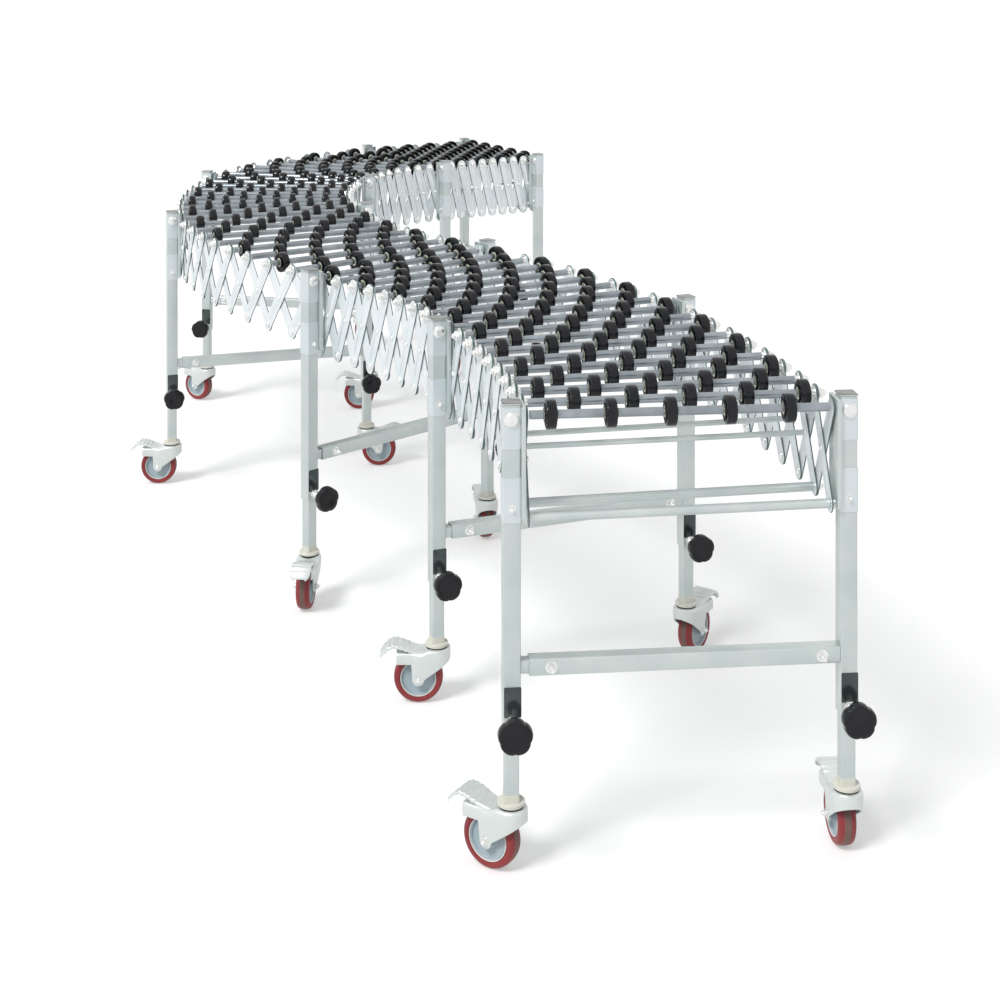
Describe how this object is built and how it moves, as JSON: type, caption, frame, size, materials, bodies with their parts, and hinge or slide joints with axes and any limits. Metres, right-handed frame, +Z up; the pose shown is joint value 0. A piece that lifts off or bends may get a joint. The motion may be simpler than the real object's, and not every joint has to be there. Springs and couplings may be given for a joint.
{
  "type": "flexible roller conveyor",
  "caption": "Flexible skate wheel conveyor: stands on casters joined by scissor links that stretch and bend, with rows of small wheels as the deck.",
  "frame": {"origin": "middle of the whole part's bounding box, on the floor", "axes": "+Y along the deck from the front stand to the far end, +X to the right across the deck, +Z up"},
  "size_m": [1.7224, 4.0156, 0.7805],
  "materials": {
    "zinc_plated_steel": "bright zinc plate",
    "black_plastic": "glossy moulded",
    "tread": "satin"
  },
  "bodies": {
    "stand_1": {"stand_1_frame": "zinc_plated_steel"},
    "stand_1_left_leg": {"stand_1_left_inner_leg": "zinc_plated_steel"},
    "stand_1_left_swivel": {"stand_1_left_caster_fork": "zinc_plated_steel"},
    "stand_1_left_wheel": {"stand_1_left_caster_wheel": "tread"},
    "stand_1_right_leg": {"stand_1_right_inner_leg": "zinc_plated_steel"},
    "stand_1_right_swivel": {"stand_1_right_caster_fork": "zinc_plated_steel"},
    "stand_1_right_wheel": {"stand_1_right_caster_wheel": "tread"},
    "stand_2": {"stand_2_frame": "zinc_plated_steel"},
    "stand_2_left_leg": {"stand_2_left_inner_leg": "zinc_plated_steel"},
    "stand_2_left_swivel": {"stand_2_left_caster_fork": "zinc_plated_steel"},
    "stand_2_left_wheel": {"stand_2_left_caster_wheel": "tread"},
    "stand_2_right_leg": {"stand_2_right_inner_leg": "zinc_plated_steel"},
    "stand_2_right_swivel": {"stand_2_right_caster_fork": "zinc_plated_steel"},
    "stand_2_right_wheel": {"stand_2_right_caster_wheel": "tread"},
    "stand_3": {"stand_3_frame": "zinc_plated_steel"},
    "stand_3_left_leg": {"stand_3_left_inner_leg": "zinc_plated_steel"},
    "stand_3_left_swivel": {"stand_3_left_caster_fork": "zinc_plated_steel"},
    "stand_3_left_wheel": {"stand_3_left_caster_wheel": "tread"},
    "stand_3_right_leg": {"stand_3_right_inner_leg": "zinc_plated_steel"},
    "stand_3_right_swivel": {"stand_3_right_caster_fork": "zinc_plated_steel"},
    "stand_3_right_wheel": {"stand_3_right_caster_wheel": "tread"},
    "stand_4": {"stand_4_frame": "zinc_plated_steel"},
    "stand_4_left_leg": {"stand_4_left_inner_leg": "zinc_plated_steel"},
    "stand_4_left_swivel": {"stand_4_left_caster_fork": "zinc_plated_steel"},
    "stand_4_left_wheel": {"stand_4_left_caster_wheel": "tread"},
    "stand_4_right_leg": {"stand_4_right_inner_leg": "zinc_plated_steel"},
    "stand_4_right_swivel": {"stand_4_right_caster_fork": "zinc_plated_steel"},
    "stand_4_right_wheel": {"stand_4_right_caster_wheel": "tread"},
    "stand_5": {"stand_5_frame": "zinc_plated_steel"},
    "stand_5_left_leg": {"stand_5_left_inner_leg": "zinc_plated_steel"},
    "stand_5_left_swivel": {"stand_5_left_caster_fork": "zinc_plated_steel"},
    "stand_5_left_wheel": {"stand_5_left_caster_wheel": "tread"},
    "stand_5_right_leg": {"stand_5_right_inner_leg": "zinc_plated_steel"},
    "stand_5_right_swivel": {"stand_5_right_caster_fork": "zinc_plated_steel"},
    "stand_5_right_wheel": {"stand_5_right_caster_wheel": "tread"},
    "stand_6": {"stand_6_frame": "zinc_plated_steel"},
    "stand_6_left_leg": {"stand_6_left_inner_leg": "zinc_plated_steel"},
    "stand_6_left_swivel": {"stand_6_left_caster_fork": "zinc_plated_steel"},
    "stand_6_left_wheel": {"stand_6_left_caster_wheel": "tread"},
    "stand_6_right_leg": {"stand_6_right_inner_leg": "zinc_plated_steel"},
    "stand_6_right_swivel": {"stand_6_right_caster_fork": "zinc_plated_steel"},
    "stand_6_right_wheel": {"stand_6_right_caster_wheel": "tread"},
    "stand_7": {"stand_7_frame": "zinc_plated_steel"},
    "stand_7_left_leg": {"stand_7_left_inner_leg": "zinc_plated_steel"},
    "stand_7_left_swivel": {"stand_7_left_caster_fork": "zinc_plated_steel"},
    "stand_7_left_wheel": {"stand_7_left_caster_wheel": "tread"},
    "stand_7_right_leg": {"stand_7_right_inner_leg": "zinc_plated_steel"},
    "stand_7_right_swivel": {"stand_7_right_caster_fork": "zinc_plated_steel"},
    "stand_7_right_wheel": {"stand_7_right_caster_wheel": "tread"},
    "front_skate_wheel_1": {"front_skate_wheel_1": "black_plastic"},
    "front_skate_wheel_2": {"front_skate_wheel_2": "black_plastic"},
    "front_skate_wheel_3": {"front_skate_wheel_3": "black_plastic"},
    "front_skate_wheel_4": {"front_skate_wheel_4": "black_plastic"},
    "front_skate_wheel_5": {"front_skate_wheel_5": "black_plastic"},
    "section_1": {"section_1": "zinc_plated_steel"},
    "section_2": {"section_2": "zinc_plated_steel"},
    "section_3": {"section_3": "zinc_plated_steel"},
    "section_4": {"section_4": "zinc_plated_steel"},
    "section_5": {"section_5": "zinc_plated_steel"},
    "section_6": {"section_6": "zinc_plated_steel"}
  },
  "joints": [
    {"name": "stand_1_left_leg_height", "type": "slide", "parent": "stand_1", "child": "stand_1_left_leg", "axis": [0, 0, 1], "range_m": [-0.2, 0.05]},
    {"name": "stand_1_left_caster_swivel", "type": "hinge", "parent": "stand_1_left_leg", "child": "stand_1_left_swivel", "pos_m": [0.25811, -1.92636, 0.1183], "axis": [0, 0, 1], "continuous": true},
    {"name": "stand_1_left_wheel_roll", "type": "hinge", "parent": "stand_1_left_swivel", "child": "stand_1_left_wheel", "pos_m": [0.22673, -1.90675, 0.05], "axis": [-0.5299, -0.848, 0], "continuous": true},
    {"name": "stand_1_right_leg_height", "type": "slide", "parent": "stand_1", "child": "stand_1_right_leg", "axis": [0, 0, 1], "range_m": [-0.2, 0.05]},
    {"name": "stand_1_right_caster_swivel", "type": "hinge", "parent": "stand_1_right_leg", "child": "stand_1_right_swivel", "pos_m": [0.82568, -1.87371, 0.1183], "axis": [0, 0, 1], "continuous": true},
    {"name": "stand_1_right_wheel_roll", "type": "hinge", "parent": "stand_1_right_swivel", "child": "stand_1_right_wheel", "pos_m": [0.82245, -1.83685, 0.05], "axis": [-0.9962, -0.0872, 0], "continuous": true},
    {"name": "stand_2_left_leg_height", "type": "slide", "parent": "stand_2", "child": "stand_2_left_leg", "axis": [0, 0, 1], "range_m": [-0.2, 0.05]},
    {"name": "stand_2_left_caster_swivel", "type": "hinge", "parent": "stand_2_left_leg", "child": "stand_2_left_swivel", "pos_m": [0.11308, -1.30555, 0.1183], "axis": [0, 0, 1], "continuous": true},
    {"name": "stand_2_left_wheel_roll", "type": "hinge", "parent": "stand_2_left_swivel", "child": "stand_2_left_wheel", "pos_m": [0.07608, -1.30555, 0.05], "axis": [0, -1, 0], "continuous": true},
    {"name": "stand_2_right_leg_height", "type": "slide", "parent": "stand_2", "child": "stand_2_right_leg", "axis": [0, 0, 1], "range_m": [-0.2, 0.05]},
    {"name": "stand_2_right_caster_swivel", "type": "hinge", "parent": "stand_2_right_leg", "child": "stand_2_right_swivel", "pos_m": [0.64522, -1.10128, 0.1183], "axis": [0, 0, 1], "continuous": true},
    {"name": "stand_2_right_wheel_roll", "type": "hinge", "parent": "stand_2_right_swivel", "child": "stand_2_right_wheel", "pos_m": [0.66644, -1.07097, 0.05], "axis": [-0.8192, 0.5736, 0], "continuous": true},
    {"name": "stand_3_left_leg_height", "type": "slide", "parent": "stand_3", "child": "stand_3_left_leg", "axis": [0, 0, 1], "range_m": [-0.2, 0.05]},
    {"name": "stand_3_left_caster_swivel", "type": "hinge", "parent": "stand_3_left_leg", "child": "stand_3_left_swivel", "pos_m": [-0.20389, -0.79928, 0.1183], "axis": [0, 0, 1], "continuous": true},
    {"name": "stand_3_left_wheel_roll", "type": "hinge", "parent": "stand_3_left_swivel", "child": "stand_3_left_wheel", "pos_m": [-0.20711, -0.83614, 0.05], "axis": [0.9962, -0.0872, 0], "continuous": true},
    {"name": "stand_3_right_leg_height", "type": "slide", "parent": "stand_3", "child": "stand_3_right_leg", "axis": [0, 0, 1], "range_m": [-0.2, 0.05]},
    {"name": "stand_3_right_caster_swivel", "type": "hinge", "parent": "stand_3_right_leg", "child": "stand_3_right_swivel", "pos_m": [0.2123, -0.40982, 0.1183], "axis": [0, 0, 1], "continuous": true},
    {"name": "stand_3_right_wheel_roll", "type": "hinge", "parent": "stand_3_right_swivel", "child": "stand_3_right_wheel", "pos_m": [0.20588, -0.37338, 0.05], "axis": [-0.9848, -0.1736, 0], "continuous": true},
    {"name": "stand_4_left_leg_height", "type": "slide", "parent": "stand_4", "child": "stand_4_left_leg", "axis": [0, 0, 1], "range_m": [-0.2, 0.05]},
    {"name": "stand_4_left_caster_swivel", "type": "hinge", "parent": "stand_4_left_leg", "child": "stand_4_left_swivel", "pos_m": [-0.6963, 0.06052, 0.1183], "axis": [0, 0, 1], "continuous": true},
    {"name": "stand_4_left_wheel_roll", "type": "hinge", "parent": "stand_4_left_swivel", "child": "stand_4_left_wheel", "pos_m": [-0.7333, 0.06052, 0.05], "axis": [0, -1, 0], "continuous": true},
    {"name": "stand_4_right_leg_height", "type": "slide", "parent": "stand_4", "child": "stand_4_right_leg", "axis": [0, 0, 1], "range_m": [-0.2, 0.05]},
    {"name": "stand_4_right_caster_swivel", "type": "hinge", "parent": "stand_4_right_leg", "child": "stand_4_right_swivel", "pos_m": [-0.14978, 0.22241, 0.1183], "axis": [0, 0, 1], "continuous": true},
    {"name": "stand_4_right_wheel_roll", "type": "hinge", "parent": "stand_4_right_swivel", "child": "stand_4_right_wheel", "pos_m": [-0.11278, 0.22241, 0.05], "axis": [0, 1, 0], "continuous": true},
    {"name": "stand_5_left_leg_height", "type": "slide", "parent": "stand_5", "child": "stand_5_left_leg", "axis": [0, 0, 1], "range_m": [-0.2, 0.05]},
    {"name": "stand_5_left_caster_swivel", "type": "hinge", "parent": "stand_5_left_leg", "child": "stand_5_left_swivel", "pos_m": [-0.74579, 0.91869, 0.1183], "axis": [0, 0, 1], "continuous": true},
    {"name": "stand_5_left_wheel_roll", "type": "hinge", "parent": "stand_5_left_swivel", "child": "stand_5_left_wheel", "pos_m": [-0.77783, 0.93719, 0.05], "axis": [-0.5, -0.866, 0], "continuous": true},
    {"name": "stand_5_right_leg_height", "type": "slide", "parent": "stand_5", "child": "stand_5_right_leg", "axis": [0, 0, 1], "range_m": [-0.2, 0.05]},
    {"name": "stand_5_right_caster_swivel", "type": "hinge", "parent": "stand_5_right_leg", "child": "stand_5_right_swivel", "pos_m": [-0.18427, 0.82069, 0.1183], "axis": [0, 0, 1], "continuous": true},
    {"name": "stand_5_right_wheel_roll", "type": "hinge", "parent": "stand_5_right_swivel", "child": "stand_5_right_wheel", "pos_m": [-0.22127, 0.82069, 0.05], "axis": [0, -1, 0], "continuous": true},
    {"name": "stand_6_left_leg_height", "type": "slide", "parent": "stand_6", "child": "stand_6_left_leg", "axis": [0, 0, 1], "range_m": [-0.2, 0.05]},
    {"name": "stand_6_left_caster_swivel", "type": "hinge", "parent": "stand_6_left_leg", "child": "stand_6_left_swivel", "pos_m": [-0.25964, 1.66159, 0.1183], "axis": [0, 0, 1], "continuous": true},
    {"name": "stand_6_left_wheel_roll", "type": "hinge", "parent": "stand_6_left_swivel", "child": "stand_6_left_wheel", "pos_m": [-0.27814, 1.69364, 0.05], "axis": [-0.866, -0.5, 0], "continuous": true},
    {"name": "stand_6_right_leg_height", "type": "slide", "parent": "stand_6", "child": "stand_6_right_leg", "axis": [0, 0, 1], "range_m": [-0.2, 0.05]},
    {"name": "stand_6_right_caster_swivel", "type": "hinge", "parent": "stand_6_right_leg", "child": "stand_6_right_swivel", "pos_m": [0.05496, 1.18628, 0.1183], "axis": [0, 0, 1], "continuous": true},
    {"name": "stand_6_right_wheel_roll", "type": "hinge", "parent": "stand_6_right_swivel", "child": "stand_6_right_wheel", "pos_m": [0.07346, 1.21832, 0.05], "axis": [-0.866, 0.5, 0], "continuous": true},
    {"name": "stand_7_left_leg_height", "type": "slide", "parent": "stand_7", "child": "stand_7_left_leg", "axis": [0, 0, 1], "range_m": [-0.2, 0.05]},
    {"name": "stand_7_left_caster_swivel", "type": "hinge", "parent": "stand_7_left_leg", "child": "stand_7_left_swivel", "pos_m": [0.11074, 1.88857, 0.1183], "axis": [0, 0, 1], "continuous": true},
    {"name": "stand_7_left_wheel_roll", "type": "hinge", "parent": "stand_7_left_swivel", "child": "stand_7_left_wheel", "pos_m": [0.09808, 1.92333, 0.05], "axis": [-0.9397, -0.342, 0], "continuous": true},
    {"name": "stand_7_right_leg_height", "type": "slide", "parent": "stand_7", "child": "stand_7_right_leg", "axis": [0, 0, 1], "range_m": [-0.2, 0.05]},
    {"name": "stand_7_right_caster_swivel", "type": "hinge", "parent": "stand_7_right_leg", "child": "stand_7_right_swivel", "pos_m": [0.39142, 1.39246, 0.1183], "axis": [0, 0, 1], "continuous": true},
    {"name": "stand_7_right_wheel_roll", "type": "hinge", "parent": "stand_7_right_swivel", "child": "stand_7_right_wheel", "pos_m": [0.401, 1.4282, 0.05], "axis": [-0.9659, 0.2588, 0], "continuous": true},
    {"name": "front_skate_wheel_1_spin", "type": "hinge", "parent": "stand_1", "child": "front_skate_wheel_1", "pos_m": [0.32383, -1.92026, 0.756], "axis": [0.9957, 0.0924, 0], "continuous": true},
    {"name": "front_skate_wheel_2_spin", "type": "hinge", "parent": "stand_1", "child": "front_skate_wheel_2", "pos_m": [0.42451, -1.91092, 0.756], "axis": [0.9957, 0.0924, 0], "continuous": true},
    {"name": "front_skate_wheel_3_spin", "type": "hinge", "parent": "stand_1", "child": "front_skate_wheel_3", "pos_m": [0.52519, -1.90158, 0.756], "axis": [0.9957, 0.0924, 0], "continuous": true},
    {"name": "front_skate_wheel_4_spin", "type": "hinge", "parent": "stand_1", "child": "front_skate_wheel_4", "pos_m": [0.62587, -1.89224, 0.756], "axis": [0.9957, 0.0924, 0], "continuous": true},
    {"name": "front_skate_wheel_5_spin", "type": "hinge", "parent": "stand_1", "child": "front_skate_wheel_5", "pos_m": [0.72655, -1.8829, 0.756], "axis": [0.9957, 0.0924, 0], "continuous": true},
    {"name": "section_1_stretch", "type": "slide", "parent": "stand_2", "child": "section_1", "axis": [0.2275, -0.9738, 0], "range_m": [-0.1563, 0.1677], "deforming": ["section_1"]},
    {"name": "section_1_bend", "type": "hinge", "parent": "section_1", "child": "stand_1", "pos_m": [0.51922, -1.7221, 0.756], "axis": [0, 0, 1], "range_deg": [-17.15, 32.85], "deforming": ["section_1"]},
    {"name": "section_2_stretch", "type": "slide", "parent": "stand_3", "child": "section_2", "axis": [0.5307, -0.8476, 0], "range_m": [-0.153, 0.171], "deforming": ["section_2"]},
    {"name": "section_2_bend", "type": "hinge", "parent": "section_2", "child": "stand_2", "pos_m": [0.30756, -1.04081, 0.756], "axis": [0, 0, 1], "range_deg": [-13.95, 36.05], "deforming": ["section_2"]},
    {"name": "section_3_stretch", "type": "slide", "parent": "stand_4", "child": "section_3", "axis": [0.497, -0.8678, 0], "range_m": [-0.2312, 0.0928], "deforming": ["section_3"]},
    {"name": "section_3_bend", "type": "hinge", "parent": "section_3", "child": "stand_3", "pos_m": [-0.13446, -0.43797, 0.756], "axis": [0, 0, 1], "range_deg": [-38.3, 11.7], "deforming": ["section_3"]},
    {"name": "section_4_stretch", "type": "slide", "parent": "stand_4", "child": "section_4", "axis": [-0.0576, 0.9983, 0], "range_m": [-0.1655, 0.1585], "deforming": ["section_4"]},
    {"name": "section_4_bend", "type": "hinge", "parent": "section_4", "child": "stand_5", "pos_m": [-0.48617, 0.68703, 0.756], "axis": [0, 0, 1], "range_deg": [-11.8, 38.2], "deforming": ["section_4"]},
    {"name": "section_5_stretch", "type": "slide", "parent": "stand_5", "child": "section_5", "axis": [0.5476, 0.8368, 0], "range_m": [-0.138, 0.186], "deforming": ["section_5"]},
    {"name": "section_5_bend", "type": "hinge", "parent": "section_5", "child": "stand_6", "pos_m": [-0.23381, 1.31624, 0.756], "axis": [0, 0, 1], "range_deg": [-1.7, 48.3], "deforming": ["section_5"]},
    {"name": "section_6_stretch", "type": "slide", "parent": "stand_6", "child": "section_6", "axis": [0.8526, 0.5225, 0], "range_m": [-0.0048, 0.3192], "deforming": ["section_6"]},
    {"name": "section_6_bend", "type": "hinge", "parent": "section_6", "child": "stand_7", "pos_m": [0.16132, 1.58869, 0.756], "axis": [0, 0, 1], "range_deg": [-23, 27], "deforming": ["section_6"]}
  ]
}
